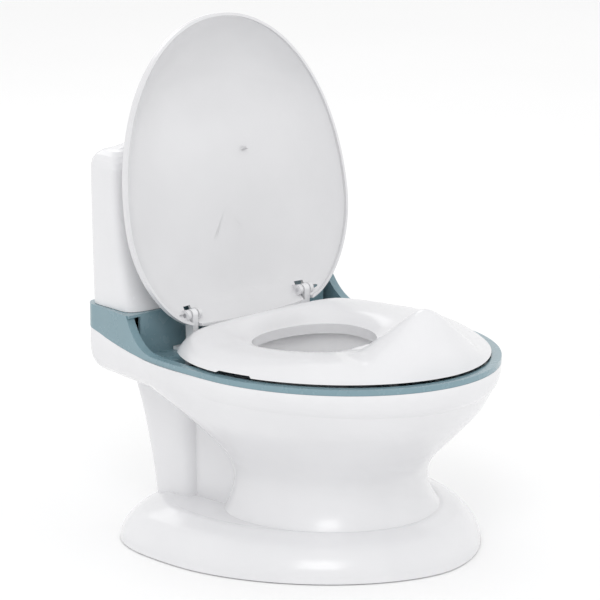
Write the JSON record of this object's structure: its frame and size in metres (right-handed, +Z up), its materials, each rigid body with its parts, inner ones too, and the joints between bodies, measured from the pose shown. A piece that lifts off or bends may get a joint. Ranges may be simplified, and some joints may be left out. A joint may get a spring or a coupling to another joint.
{
  "type": "potty training chair",
  "caption": "Toilet-shaped potty training chair with a tank back, hinged lid, lift-off seat with splash guard and a removable pot.",
  "frame": {"origin": "on the floor, half way between the front of the rim and the back of the tank, on the chair's middle plane", "axes": "+Z up, -Y the way the seated child faces, +X to the chair's own left"},
  "size_m": [0.323, 0.3684, 0.4814],
  "materials": {
    "white_plastic": "glossy moulded polypropylene",
    "teal_plastic": "glossy moulded polypropylene, dusty teal",
    "soft_pad": "soft grey elastomer",
    "steel": "zinc plated",
    "pot_plastic": "satin moulded polypropylene",
    "grey_plastic": "plain moulded",
    "board": "solder resist",
    "speaker_black": "matt",
    "battery_wrap": "printed sleeve without print",
    "button_plastic": "glossy silver grey"
  },
  "bodies": {
    "chair": {"base_shell": "white_plastic", "floor_pads": "soft_pad", "rim_collar": "teal_plastic", "rim_screws": "steel", "tank_shell": "white_plastic", "tank_screws": "steel", "hinge_post_left": "white_plastic", "hinge_post_right": "white_plastic", "hinge_pin_left": "steel", "hinge_pin_right": "steel", "hinge_post_screws": "steel", "sound_case": "grey_plastic", "circuit_board": "board", "push_switch": "grey_plastic", "speaker": "speaker_black", "batteries": "battery_wrap", "battery_contacts": "steel", "button_spring": "steel"},
    "lid": {"lid": "white_plastic"},
    "seat": {"seat_ring": "white_plastic", "seat_bumpers": "soft_pad"},
    "pot": {"inner_pot": "pot_plastic"},
    "button": {"flush_button": "button_plastic"},
    "door": {"battery_door": "white_plastic", "battery_door_screw": "steel"}
  },
  "joints": [
    {"name": "lid_hinge", "type": "hinge", "parent": "chair", "child": "lid", "pos_m": [0, 0.0894, 0.2107], "axis": [1, 0, 0], "range_deg": [0, 99.6]},
    {"name": "seat_lift", "type": "slide", "parent": "chair", "child": "seat", "axis": [0, 0, 1], "range_m": [0, 0.12]},
    {"name": "pot_lift", "type": "slide", "parent": "chair", "child": "pot", "axis": [0, 0, 1], "range_m": [0, 0.0015]},
    {"name": "button_press", "type": "slide", "parent": "chair", "child": "button", "axis": [0, 0, -1], "range_m": [0, 0.003], "stiffness_N_per_m": 400, "deforming": ["button_spring"]},
    {"name": "door_pull", "type": "slide", "parent": "chair", "child": "door", "axis": [0, 1, 0], "range_m": [0, 0.03]}
  ]
}
